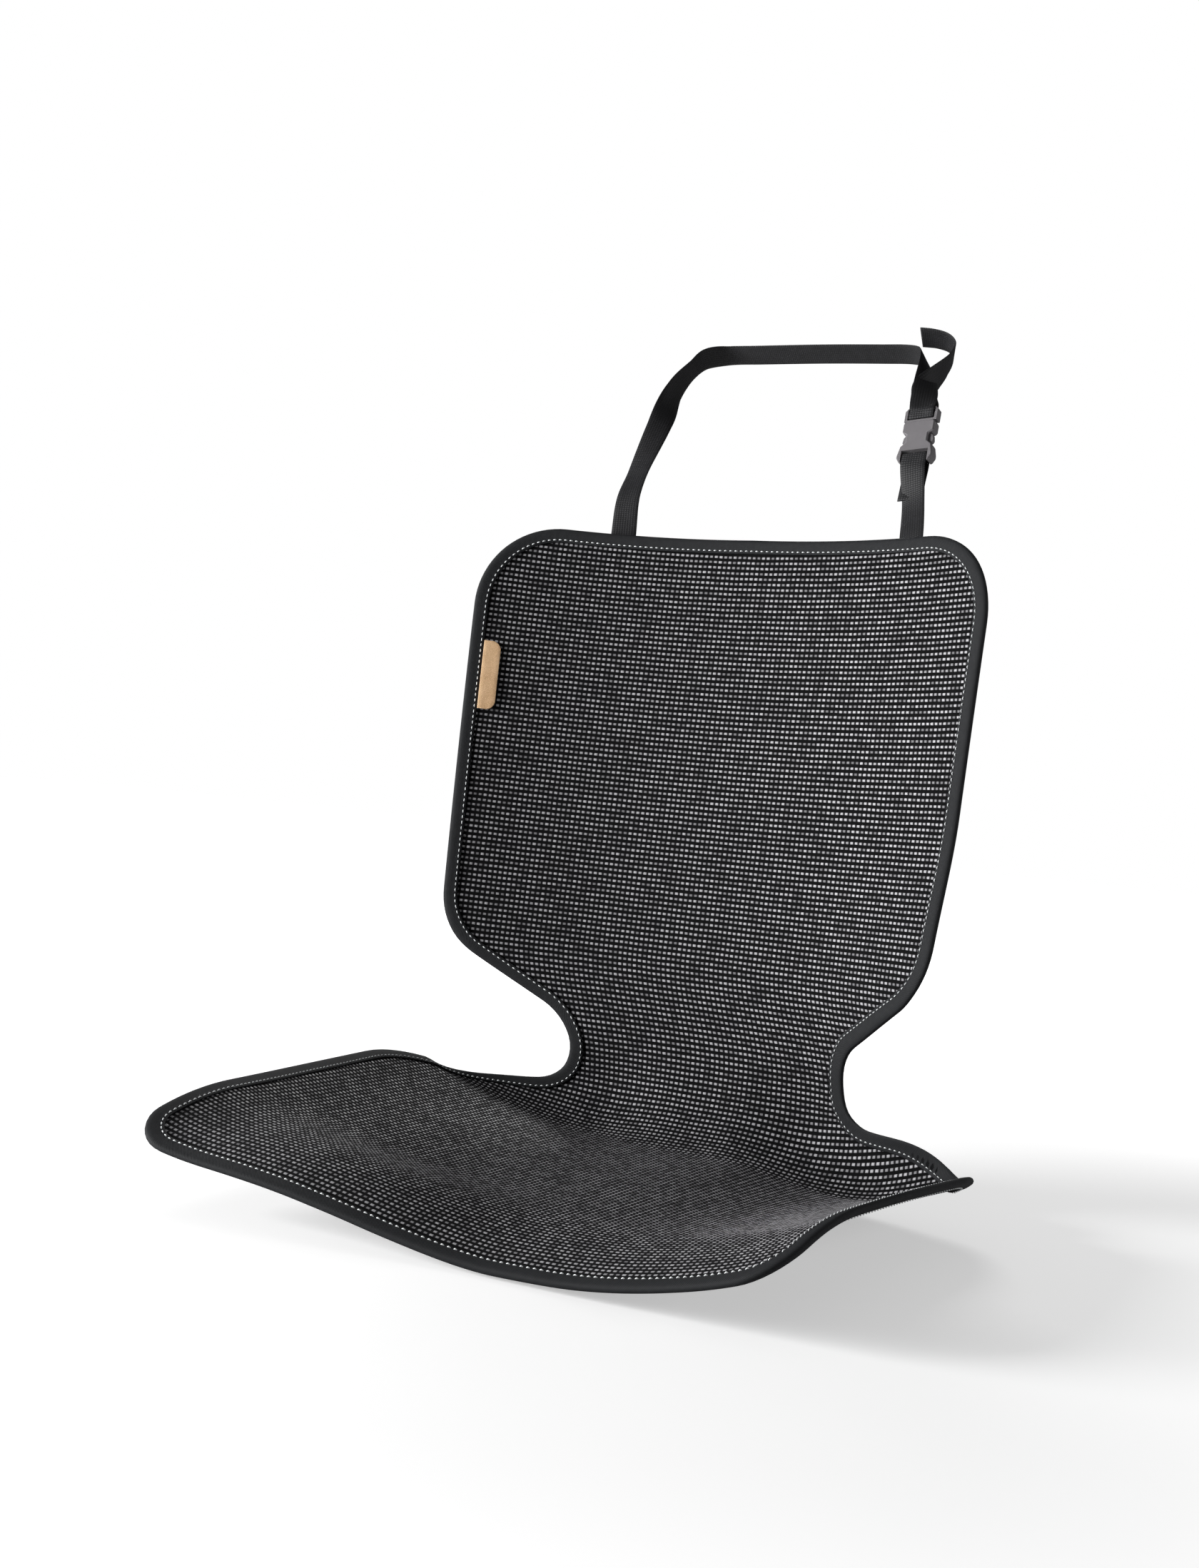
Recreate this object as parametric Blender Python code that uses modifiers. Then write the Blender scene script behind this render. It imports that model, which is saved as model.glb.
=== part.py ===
"""Car seat protector mat: one ribbed woven sheet with a seat panel and a backrest panel, bound all round.
A webbing strap sewn behind its top edge closes in a hanging loop with a side-release buckle. Metres,
+Z up, X to the viewer's right, Y backwards. The origin is under the middle of the flat of the seat
panel."""
from math import atan2, cos, pi, radians, sin, tan

import bmesh
import bpy
import numpy as np
from mathutils import Matrix, Vector

# Cut of the flat sheet. Across is u, along is v, which runs up the backrest from the lap fold.
BACK_WIDTH = 0.428            # between the corners at the top of the backrest panel
BACK_LOWER_WIDTH = 0.408      # between its lower corners
BACK_CORNER_V = 0.346         # height of the top corners
BACK_LOWER_V = 0.030          # height of the lower corners
NECK_WIDTH = 0.110            # between the points where the edges of the two notches would meet
NECK_V = -0.056
SEAT_REAR_WIDTH = 0.480
SEAT_REAR_V = -0.106
SEAT_FRONT_WIDTH = 0.442
SEAT_FRONT_V = -0.453
EDGE_CROWN = 0.003            # the top edge is this much higher in its middle
TOP_RADIUS = 0.063
LOWER_RADIUS = 0.054
NOTCH_RADIUS = 0.035
REAR_RADIUS = 0.110
FRONT_RADIUS = 0.030

# Sheet, ridges and binding.
SHEET = 0.0026                # thickness of the sheet under its ridges
RIDGE = 0.0008                # height of a ridge
RIDGE_PITCH = 0.0164          # each ridge stands for four rows of the weave
STATION = 0.038               # spacing of the lines that let the sheet curve across
TAPE = 0.0008                 # thickness of the binding tape
TAPE_LIP = 0.010              # width of the tape on each face
GAP = 0.0003                  # clearance between neighbouring pieces
TAPE_CLEARANCE = 0.0008       # between the tape and the faces of the sheet
HEM = TAPE_LIP + 0.001        # flat border of the sheet
RAMP = 0.003                  # run from the border up to the ridges

# Drape over the seat.
BACK_LEAN = radians(4.4)      # lean of the backrest at the lap fold
BACK_BOW_RADIUS = 6.7         # the backrest panel bows back very slightly
TOP_ROLL_V = 0.25             # above this the panel rolls back over the top of the backrest
TOP_ROLL = radians(1.4)       # by this much at its edge
FOLD_V = -0.060               # the lap fold starts here
FOLD_RADIUS = 0.048
FRONT_ROLL_RADIUS = 0.26      # the front edge rolls down over the end of the cushion
FRONT_ROLL_LENGTH = 0.090
BACK_HOLLOW_RADIUS = 0.42     # hollow of the backrest panel, side to side
SEAT_HOLLOW_RADIUS = 0.31     # rise of the seat panel at its sides
SEAT_FLAT_WIDTH = 0.146
SIDE_SWAY = 0.018             # the seat panel lies this far to +X of the backrest panel
LOBE_LIFT = 0.021             # the lower lobe on the +X side comes further forward
LOBE_START_U = 0.08
LOBE_RUN = 0.13
LOBE_TOP_V = 0.15
LOBE_FALL = 0.12
FOLD_DROP = 0.010             # the cloth beside the neck sinks into the crease of the seat
DROP_V = -0.080
DROP_REACH = 0.055
DROP_START_U = 0.02
DROP_RUN = 0.07
RIGHT_RISES = (-0.020, -0.004, 0.005)   # extra rise of the sides at the rear, middle and front
LEFT_RISES = (0.004, 0.006, 0.007)
RISE_START_U = 0.03
RISE_RUN = 0.13
FRONT_SWELL = 0.018           # and of the front edge left of its middle
SWELL_U = -0.10
SWELL_REACH = 0.14
SWELL_START_V = -0.30
SWELL_RUN = 0.13
SWAY_RUN = 0.08
DATUM_V = -0.240              # middle of the flat of the seat panel

# Leather tag.
TAG_LENGTH = 0.053
TAG_WIDTH = 0.0135
TAG_THICKNESS = 0.0013
TAG_V = 0.227
TAG_RADIUS = 0.007

# Webbing.
WEB_WIDTH = 0.020
WEB = 0.0012
LEFT_STRAP_PLACE = -0.106     # u of the strap ends at the top edge
RIGHT_STRAP_PLACE = 0.131
SEWN_LENGTH = 0.024           # strap behind the top edge of the sheet
FOLD_BACK = 0.030             # sewn return of the short strap below the buckle

# Hanging loop: x, y and z from the middle of the top edge, and the turn of the width from level (0)
# to leaning (90) at each point.
LOOP_LEAN = Vector((0.0, 0.81, -0.585))
LOOP_LEFT = ((-0.110, 0.001, 0.032, 0), (-0.112, 0.019, 0.057, -8), (-0.110, 0.045, 0.099, 20),
             (-0.110, 0.067, 0.131, 78), (-0.106, 0.087, 0.152, 100), (-0.101, 0.102, 0.165, 95))
LOOP_BACK = ((-0.087, 0.115, 0.1705, 90), (-0.060, 0.1155, 0.1705, 90), (0.0, 0.116, 0.170, 90),
             (0.050, 0.1155, 0.1685, 90), (0.072, 0.113, 0.167, 90))
LOOP_RIGHT = ((0.086, 0.105, 0.1625, 85), (0.0955, 0.088, 0.150, 66), (0.1045, 0.062, 0.130, 32))
TAIL = ((0.1090, 0.0482, 0.1170, 14), (0.1030, 0.0640, 0.1285, 40), (0.1050, 0.0760, 0.1380, 76),
        (0.1115, 0.0900, 0.1530, 104), (0.1120, 0.1000, 0.1650, 108), (0.1060, 0.1050, 0.1730, 98),
        (0.0950, 0.1055, 0.1770, 90), (0.0830, 0.1050, 0.1785, 90))
SHORT_STRAP_BEND = ((0.1215, 0.0062, 0.033, -22),)

# Side-release buckle. Its own x is across, y backwards and z up the strap.
BUCKLE_PLACE = Vector((0.1158, 0.0247, 0.0845))   # from the middle of the top edge
BUCKLE_UP = Vector((-0.04, 0.33, 0.94)).normalized()
BUCKLE_TURN = radians(8)      # it faces a little to -X
BUCKLE_CLEAR = 0.0004
MOUTH_Z = 0.0110              # top of the socket
SOCKET_LOW_Z = -0.0230
SOCKET_DEPTH = 0.0090
BLOCK_WIDTH = 0.0250
WAIST_WIDTH = 0.0172
FLARE_WIDTH = 0.0284
WINDOW_HIGH_Z = 0.0020
WINDOW_LOW_Z = -0.0095
CAVITY_WIDTH = 0.0204
CAVITY_DEPTH = 0.0046
CAVITY_LOW_Z = -0.0108
SLOT_WIDTH = 0.0214
SLOT_HIGH_Z = -0.0135
SLOT_LOW_Z = -0.0170
BAR_DEPTH = 0.0036
BAR_HEIGHT = 0.0034
FRAME_DEPTH = 0.0064
FRAME_HIGH_Z = 0.0235
FRAME_WIDTH = 0.0262
LATCH_SILL = 0.0016           # solid part of the latch above the mouth
LATCH_SLOT = 0.0024
PRONG_INNER_X = 0.0068
PRONG_OUTER_X = 0.0096
BUTTON_X = 0.0123
TONGUE_WIDTH = 0.0040

COLLECTION_NAME = "car_seat_protector_mat"


def clear_scene():
    for item in list(bpy.data.objects):
        bpy.data.objects.remove(item, do_unlink=True)


def new_collection(name):
    collection = bpy.data.collections.new(name)
    bpy.context.scene.collection.children.link(collection)
    return collection


def make_material(name, colour, roughness):
    material = bpy.data.materials.new(name)
    material.use_nodes = True
    shader = material.node_tree.nodes["Principled BSDF"]
    shader.inputs["Base Color"].default_value = (*colour, 1.0)
    shader.inputs["Roughness"].default_value = roughness
    shader.inputs["Metallic"].default_value = 0.0
    return material


def make_object(name, mesh_or_bmesh, collection, material=None):
    mesh = mesh_or_bmesh
    if isinstance(mesh_or_bmesh, bmesh.types.BMesh):
        mesh = bpy.data.meshes.new(name)
        mesh_or_bmesh.to_mesh(mesh)
        mesh_or_bmesh.free()
    item = bpy.data.objects.new(name, mesh)
    collection.objects.link(item)
    if material:
        mesh.materials.clear()
        mesh.materials.append(material)
    return item


def smooth_step(t):
    t = min(max(t, 0.0), 1.0)
    return t * t * (3.0 - 2.0 * t)


# Centre line of the drape: its lean from the vertical at each v, and its place in Y and Z.
FOLD_LEAN = BACK_LEAN + FOLD_V / BACK_BOW_RADIUS
FOLD_LENGTH = FOLD_RADIUS * (pi / 2 - FOLD_LEAN)
FRONT_ROLL_V = SEAT_FRONT_V + FRONT_ROLL_LENGTH


def lean_at(v):
    if v > FOLD_V:
        roll = max(v - TOP_ROLL_V, 0.0) / (BACK_CORNER_V - TOP_ROLL_V)
        return BACK_LEAN + v / BACK_BOW_RADIUS + TOP_ROLL * roll ** 2
    if v > FOLD_V - FOLD_LENGTH:
        return FOLD_LEAN + (FOLD_V - v) / FOLD_RADIUS
    return pi / 2 - max(FRONT_ROLL_V - v, 0.0) / FRONT_ROLL_RADIUS


def trace_centre_line(step=0.001, margin=0.03):
    lowest = SEAT_FRONT_V - margin
    count = int((BACK_CORNER_V + margin - lowest) / step) + 1
    along = lowest + step * np.arange(count)
    leans = [lean_at(v + step / 2) for v in along[:-1]]
    ys = np.concatenate(([0.0], np.cumsum(np.sin(leans)) * step))
    zs = np.concatenate(([0.0], np.cumsum(np.cos(leans)) * step))
    ys -= np.interp(DATUM_V, along, ys)
    zs += SHEET / 2 - np.interp(DATUM_V, along, zs)
    return along, ys, zs


CENTRE_LINE = trace_centre_line()


def hollow(u, flat_half_width, radius):
    """Across the sheet: flat in the middle, then a circular rise. Gives x, rise and slope angle."""
    run = max(abs(u) - flat_half_width, 0.0)
    angle = run / radius
    x = min(abs(u), flat_half_width) + radius * sin(angle)
    side = 1.0 if u >= 0 else -1.0
    return side * x, radius * (1.0 - cos(angle)), side * angle


def cushion_rise(u, v):
    """How much higher than its even hollow each side of the seat panel lies, from its rear to its front."""
    rear, middle, front = RIGHT_RISES if u > 0 else LEFT_RISES
    run = min(max((SEAT_REAR_V - v) / (SEAT_REAR_V - SEAT_FRONT_V), 0.0), 1.0)
    along = rear * (1 - run) * (1 - 2 * run) + middle * 4 * run * (1 - run) + front * run * (2 * run - 1)
    swell = smooth_step(1.0 - abs(u - SWELL_U) / SWELL_REACH) * smooth_step((SWELL_START_V - v) / SWELL_RUN)
    return along * smooth_step((abs(u) - RISE_START_U) / RISE_RUN) + FRONT_SWELL * swell


def drape(u, v, w=0.0):
    """Point of the draped sheet. w is the height over its middle, towards the sitter."""
    along, ys, zs = CENTRE_LINE
    lean = lean_at(v)
    seat = smooth_step((FOLD_V - v) / FOLD_LENGTH)
    back_x, back_rise, back_angle = hollow(u, 0.0, BACK_HOLLOW_RADIUS)
    seat_x, seat_rise, seat_angle = hollow(u, SEAT_FLAT_WIDTH / 2, SEAT_HOLLOW_RADIUS)
    x = back_x + (seat_x - back_x) * seat
    lobe = smooth_step((u - LOBE_START_U) / LOBE_RUN) * smooth_step((LOBE_TOP_V - v) / LOBE_FALL)
    back_rise += LOBE_LIFT * lobe
    rise = back_rise + (seat_rise + cushion_rise(u, v) - back_rise) * seat
    drop = smooth_step((abs(u) - DROP_START_U) / DROP_RUN) * smooth_step(1.0 - abs(v - DROP_V) / DROP_REACH)
    rise -= FOLD_DROP * drop
    angle = back_angle + (seat_angle - back_angle) * seat
    sway = SIDE_SWAY * smooth_step((BACK_LOWER_V - v) / SWAY_RUN)
    lift = Vector((0.0, -cos(lean), sin(lean)))
    point = Vector((x + sway, float(np.interp(v, along, ys)), float(np.interp(v, along, zs))))
    normal = lift * cos(angle) - Vector((sin(angle), 0.0, 0.0))
    return point + lift * rise + normal * w


def rounded_path(corners, arc_step=radians(18)):
    """Open chain of (u, v, radius) corners, each turned into an arc."""
    points = [Vector(corners[0][:2])]
    for before, corner, after in zip(corners[:-2], corners[1:-1], corners[2:]):
        place = Vector(corner[:2])
        to_before = (Vector(before[:2]) - place).normalized()
        to_after = (Vector(after[:2]) - place).normalized()
        half = to_before.angle(to_after) / 2
        radius = corner[2]
        centre = place + (to_before + to_after).normalized() * (radius / sin(half))
        first = place + to_before * (radius / tan(half)) - centre
        last = place + to_after * (radius / tan(half)) - centre
        turn = atan2(last.y, last.x) - atan2(first.y, first.x)
        turn = (turn + pi) % (2 * pi) - pi
        steps = max(2, round(abs(turn) / arc_step))
        for index in range(steps + 1):
            angle = turn * index / steps
            spoke = Vector((first.x * cos(angle) - first.y * sin(angle),
                            first.x * sin(angle) + first.y * cos(angle)))
            points.append(centre + spoke)
    points.append(Vector(corners[-1][:2]))
    return points


def divided(points, longest, low_v=-1.0, high_v=1.0):
    """The same path with no side longer than the given length between two heights."""
    result = [points[0]]
    for start, end in zip(points[:-1], points[1:]):
        inside = low_v < (start.y + end.y) / 2 < high_v
        count = max(1, int((end - start).length / longest + 0.999)) if inside else 1
        for index in range(1, count + 1):
            result.append(start.lerp(end, index / count))
    return result


def sheet_outline():
    """Closed outline of the cut sheet, symmetric in u, from the top middle round the +u side."""
    half = rounded_path([
        (0.0, BACK_CORNER_V + EDGE_CROWN, 0.0),
        (BACK_WIDTH / 2, BACK_CORNER_V, TOP_RADIUS),
        (BACK_LOWER_WIDTH / 2, BACK_LOWER_V, LOWER_RADIUS),
        (NECK_WIDTH / 2, NECK_V, NOTCH_RADIUS),
        (SEAT_REAR_WIDTH / 2, SEAT_REAR_V, REAR_RADIUS),
        (SEAT_FRONT_WIDTH / 2, SEAT_FRONT_V, FRONT_RADIUS),
        (0.0, SEAT_FRONT_V, 0.0),
    ])
    half = divided(half, 0.020)
    half = divided(half, 0.005, FOLD_V - FOLD_LENGTH - 0.01, FOLD_V)
    return half + [Vector((-p.x, p.y)) for p in half[-2:0:-1]]


def build_panel(collection):
    bm = bmesh.new()
    sheet = bm.faces.new([bm.verts.new((p.x, p.y, -SHEET / 2)) for p in sheet_outline()])
    bmesh.ops.recalc_face_normals(bm, faces=[sheet])
    if sheet.normal.z < 0:
        sheet.normal_flip()
    inset(bm, sheet, HEM)
    sheet.material_index = 1
    for face in inset(bm, sheet, RAMP):
        face.material_index = 2
    half_pitch = RIDGE_PITCH / 2
    first_line = int(SEAT_FRONT_V / half_pitch) - 1
    last_line = int(BACK_CORNER_V / half_pitch) + 1
    for line in range(first_line, last_line + 1):
        cut_field(bm, (0, line * half_pitch, 0), (0, 1, 0))
    stations = int(SEAT_REAR_WIDTH / 2 / STATION)
    for station in range(-stations, stations + 1):
        cut_field(bm, (station * STATION, 0, 0), (1, 0, 0))
    bmesh.ops.remove_doubles(bm, verts=bm.verts, dist=0.0001)
    grown = bmesh.ops.extrude_face_region(bm, geom=bm.faces[:])
    top = [item for item in grown["geom"] if isinstance(item, bmesh.types.BMVert)]
    for vert in top:
        line = round(vert.co.y / half_pitch)
        on_crest = line % 2 == 1 and abs(vert.co.y - line * half_pitch) < 0.0001
        ribbed = any(face.material_index == 1 for face in vert.link_faces)
        vert.co.z = SHEET / 2 + (RIDGE if on_crest and ribbed else 0.0)
    bmesh.ops.triangulate(bm, faces=bm.faces[:])
    bmesh.ops.recalc_face_normals(bm, faces=bm.faces[:])
    for face in bm.faces:
        face.material_index = 0
    for vert in bm.verts:
        vert.co = drape(*vert.co)
    material = make_material("woven_mesh", (0.030, 0.030, 0.033), 0.85)
    return make_object("mat_panel", bm, collection, material)


def inset(bm, face, width):
    ring = bmesh.ops.inset_region(bm, faces=[face], thickness=width, use_boundary=True, use_even_offset=True)
    return ring["faces"]


def cut_flat(bm, point, normal, faces=None):
    faces = faces or bm.faces[:]
    edges = list({edge for face in faces for edge in face.edges})
    verts = list({vert for face in faces for vert in face.verts})
    bmesh.ops.bisect_plane(bm, geom=verts + edges + faces, dist=0.00005, plane_co=point, plane_no=normal)


def cut_field(bm, point, normal):
    """Cut across the ridged field and its ramp, but not the flat border."""
    cut_flat(bm, point, normal, [face for face in bm.faces if face.material_index > 0])


def inward_normals(outline):
    """Unit direction at each outline point that leads into the sheet."""
    count = len(outline)
    result = []
    for index, point in enumerate(outline):
        before = (point - outline[index - 1]).normalized()
        after = (outline[(index + 1) % count] - point).normalized()
        run = (before + after).normalized()
        result.append(Vector((run.y, -run.x)) / run.dot(after))
    return result


def build_binding(collection):
    outline = sheet_outline()
    inward = inward_normals(outline)
    lift = SHEET / 2 + TAPE_CLEARANCE
    profile = [(TAPE_LIP, lift), (-GAP, lift), (-GAP, -lift), (TAPE_LIP, -lift)]
    bm = bmesh.new()
    rings = []
    for offset, height in profile:
        ring = []
        for point, direction in zip(outline, inward):
            place = point + direction * offset
            ring.append(bm.verts.new(drape(place.x, place.y, height)))
        rings.append(ring)
    count = len(outline)
    for lower, upper in zip(rings[:-1], rings[1:]):
        for index in range(count):
            following = (index + 1) % count
            bm.faces.new((lower[index], lower[following], upper[following], upper[index]))
    material = make_material("binding_tape", (0.020, 0.020, 0.023), 0.8)
    item = make_object("edge_binding", bm, collection, material)
    solidify(item, TAPE, offset=1.0)
    return item


def solidify(item, thickness, offset):
    modifier = item.modifiers.new("thickness", "SOLIDIFY")
    modifier.thickness = thickness
    modifier.offset = offset
    modifier.use_even_offset = True
    modifier.use_quality_normals = True


def build_tag(collection):
    """D-shaped tag: its straight side lies along the lip of the binding."""
    inner_edge = -BACK_WIDTH / 2 + TAPE_LIP + GAP
    top_v = TAG_V + TAG_LENGTH / 2
    low_v = TAG_V - TAG_LENGTH / 2
    far = inner_edge + TAG_WIDTH
    path = rounded_path([(inner_edge, low_v, 0.0), (far, low_v, TAG_RADIUS),
                         (far, top_v, TAG_RADIUS), (inner_edge, top_v, 0.0)])
    bm = bmesh.new()
    tag = bm.faces.new([bm.verts.new((p.x, p.y, 0.0)) for p in path])
    for step in range(1, 6):
        cut_flat(bm, (0, low_v + TAG_LENGTH * step / 6, 0), (0, 1, 0))
    grown = bmesh.ops.extrude_face_region(bm, geom=bm.faces[:])
    under = SHEET / 2 + RIDGE + GAP
    for item in grown["geom"]:
        if isinstance(item, bmesh.types.BMVert):
            item.co.z = TAG_THICKNESS
    bmesh.ops.triangulate(bm, faces=bm.faces[:])
    bmesh.ops.recalc_face_normals(bm, faces=bm.faces[:])
    taper = (BACK_WIDTH - BACK_LOWER_WIDTH) / 2 / (BACK_CORNER_V - BACK_LOWER_V)
    for vert in bm.verts:
        slant = taper * (BACK_CORNER_V - vert.co.y)
        vert.co = drape(vert.co.x + slant, vert.co.y, under + vert.co.z)
    return make_object("side_tag", bm, collection, make_material("tag_leather", (0.56, 0.34, 0.15), 0.55))


def smooth_track(stations, steps=4):
    """Rows of a strap through the given stations, as points and width directions."""
    points = [Vector(place) for place, width in stations]
    widths = [Vector(width) for place, width in stations]
    rows = []
    for index in range(len(points) - 1):
        for part in range(steps):
            t = part / steps
            rows.append((spline_at(points, index, t), spline_at(widths, index, t)))
    rows.append((points[-1], widths[-1]))
    return rows


def spline_at(values, index, t):
    """Catmull-Rom curve with centripetal end handling, between values[index] and the next."""
    first = values[max(index - 1, 0)]
    start = values[index]
    end = values[index + 1]
    last = values[min(index + 2, len(values) - 1)]
    span = (end - start).length or 1.0
    slope_in = (end - first) / ((start - first).length + span) * span
    slope_out = (last - start) / ((last - end).length + span) * span
    cube = t * t * t
    square = t * t
    return (start * (2 * cube - 3 * square + 1) + slope_in * (cube - 2 * square + t)
            + end * (3 * square - 2 * cube) + slope_out * (cube - square))


def build_ribbon(name, stations, collection, material):
    rows = smooth_track(stations)
    bm = bmesh.new()
    grid = []
    for index, (point, width) in enumerate(rows):
        before = rows[max(index - 1, 0)][0]
        after = rows[min(index + 1, len(rows) - 1)][0]
        run = (after - before).normalized()
        side = (width - run * width.dot(run)).normalized() * (WEB_WIDTH / 2)
        grid.append([bm.verts.new(point + side * part) for part in (-1, 0, 1)])
    for lower, upper in zip(grid[:-1], grid[1:]):
        for index in range(2):
            bm.faces.new((lower[index], lower[index + 1], upper[index + 1], upper[index]))
    item = make_object(name, bm, collection, material)
    solidify(item, WEB, offset=0.0)
    return item


def turned(angle_degrees):
    angle = radians(angle_degrees)
    return Vector((cos(angle), 0.0, 0.0)) + LOOP_LEAN * sin(angle)


def top_middle():
    return drape(0.0, BACK_CORNER_V + EDGE_CROWN)


def loop_stations(points):
    return [(top_middle() + Vector((x, y, z)), turned(angle)) for x, y, z, angle in points]


def sewn_stations(u):
    """Strap end behind the top edge of the sheet, from its lower end up to the edge."""
    depth = -(SHEET / 2 + TAPE_CLEARANCE + TAPE + 2 * GAP + WEB / 2)
    edge_v = BACK_CORNER_V + EDGE_CROWN * (1.0 - abs(u) / (BACK_WIDTH / 2))
    level = (drape(u + 0.01, edge_v) - drape(u - 0.01, edge_v)).normalized()
    return [(drape(u, edge_v - back, depth), level) for back in (SEWN_LENGTH, SEWN_LENGTH / 2, 0.0)]


def buckle_matrix():
    across = Vector((1.0, 0.0, 0.0))
    across = (across - BUCKLE_UP * across.dot(BUCKLE_UP)).normalized()
    back = BUCKLE_UP.cross(across)
    across = across * cos(BUCKLE_TURN) - back * sin(BUCKLE_TURN)
    back = BUCKLE_UP.cross(across)
    matrix = Matrix((across, back, BUCKLE_UP)).transposed().to_4x4()
    matrix.translation = top_middle() + BUCKLE_PLACE
    return matrix


def buckle_stations(points):
    """Strap stations from (y, z) pairs in the buckle's own frame."""
    matrix = buckle_matrix()
    across = matrix.to_3x3() @ Vector((1.0, 0.0, 0.0))
    return [(matrix @ Vector((0.0, y, z)), across) for y, z in points]


def round_bar(edge_z, far_z, side):
    """(y, z) track down the front of a bar, round its edge and back behind it, clear of it."""
    reach = BAR_DEPTH / 2 + 2 * BUCKLE_CLEAR + WEB / 2
    corner = 0.85
    beyond = side * (WEB / 2 + 0.0007)
    return [(-reach, far_z), (-reach, edge_z), (-reach * corner, edge_z + beyond * corner),
            (0.0, edge_z + beyond), (reach * corner, edge_z + beyond * corner), (reach, edge_z),
            (reach, far_z)]


def build_main_strap(collection, material):
    bar_edge = MOUTH_Z + BUCKLE_CLEAR + LATCH_SILL + LATCH_SLOT
    wrap = round_bar(bar_edge, FRAME_HIGH_Z - 0.001, -1)
    stations = (sewn_stations(LEFT_STRAP_PLACE) + loop_stations(LOOP_LEFT) + loop_stations(LOOP_BACK)
                + loop_stations(LOOP_RIGHT) + buckle_stations(wrap) + loop_stations(TAIL))
    return build_ribbon("main_strap", stations, collection, material)


def build_buckle_strap(collection, material):
    wrap = round_bar(SLOT_LOW_Z, SOCKET_LOW_Z - 0.004, 1)
    end_y = wrap[-1][0]
    back_end = [(end_y - 0.0012, SOCKET_LOW_Z - FOLD_BACK / 2), (end_y - 0.0024, SOCKET_LOW_Z - FOLD_BACK)]
    stations = (sewn_stations(RIGHT_STRAP_PLACE) + loop_stations(SHORT_STRAP_BEND)
                + buckle_stations(wrap + back_end))
    return build_ribbon("buckle_strap", stations, collection, material)


def plate(name, half_outline, depth, collection, material=None):
    """Solid from a half outline in (x, z), mirrored in x and centred in y."""
    outline = half_outline + [(-x, z) for x, z in reversed(half_outline)]
    bm = bmesh.new()
    face = bm.faces.new([bm.verts.new((x, -depth / 2, z)) for x, z in outline])
    grown = bmesh.ops.extrude_face_region(bm, geom=[face])
    verts = [item for item in grown["geom"] if isinstance(item, bmesh.types.BMVert)]
    bmesh.ops.translate(bm, verts=verts, vec=(0.0, depth, 0.0))
    bmesh.ops.recalc_face_normals(bm, faces=bm.faces[:])
    item = make_object(name, bm, collection, material)
    item.matrix_world = buckle_matrix()
    return item


def box(name, width, low_y, high_y, low_z, high_z, collection):
    middle = (low_y + high_y) / 2
    bm = bmesh.new()
    bmesh.ops.create_cube(bm, size=1.0)
    for vert in bm.verts:
        vert.co = (vert.co.x * width, middle + vert.co.y * (high_y - low_y),
                   (low_z + high_z) / 2 + vert.co.z * (high_z - low_z))
    item = make_object(name, bm, collection)
    item.matrix_world = buckle_matrix()
    item.hide_render = True
    item.display_type = "WIRE"
    return item


def combine(target, other, operation):
    modifier = target.modifiers.new(other.name, "BOOLEAN")
    modifier.operation = operation
    modifier.object = other
    modifier.solver = "EXACT"


def soften(item, width):
    modifier = item.modifiers.new("soft_edges", "BEVEL")
    modifier.width = width
    modifier.segments = 1
    modifier.limit_method = "ANGLE"
    modifier.angle_limit = radians(35)


def build_socket(collection, cutters, material):
    block = BLOCK_WIDTH / 2
    waist = WAIST_WIDTH / 2
    flare = FLARE_WIDTH / 2
    chamfer = 0.0014
    outline = [(block - chamfer, MOUTH_Z), (block, MOUTH_Z - chamfer), (block, WINDOW_HIGH_Z),
               (waist, WINDOW_HIGH_Z - 0.0022), (waist, WINDOW_LOW_Z + 0.0030), (block, WINDOW_LOW_Z),
               (flare, SLOT_LOW_Z), (flare, SLOT_LOW_Z - 0.0022), (flare - 0.0022, SOCKET_LOW_Z)]
    item = plate("buckle_socket", outline, SOCKET_DEPTH, collection, material)
    soften(item, 0.0008)
    half = SOCKET_DEPTH / 2
    bar_low = SLOT_LOW_Z - BAR_HEIGHT
    below = SOCKET_LOW_Z - 0.002
    out = half + 0.001
    bar_top = SLOT_LOW_Z + 0.001
    cavity_half = CAVITY_DEPTH / 2
    cuts = [
        box("cut_cavity", CAVITY_WIDTH, -cavity_half, cavity_half, CAVITY_LOW_Z, MOUTH_Z + 0.002, cutters),
        box("cut_slot", SLOT_WIDTH, -out, out, SLOT_LOW_Z, SLOT_HIGH_Z, cutters),
        box("cut_bar_front", SLOT_WIDTH, -out, -BAR_DEPTH / 2, below, bar_top, cutters),
        box("cut_bar_rear", SLOT_WIDTH, BAR_DEPTH / 2, out, below, bar_top, cutters),
        box("cut_bar_under", SLOT_WIDTH, -out, out, below, bar_low, cutters),
    ]
    for cutter in cuts:
        combine(item, cutter, "DIFFERENCE")
    return item


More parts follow.
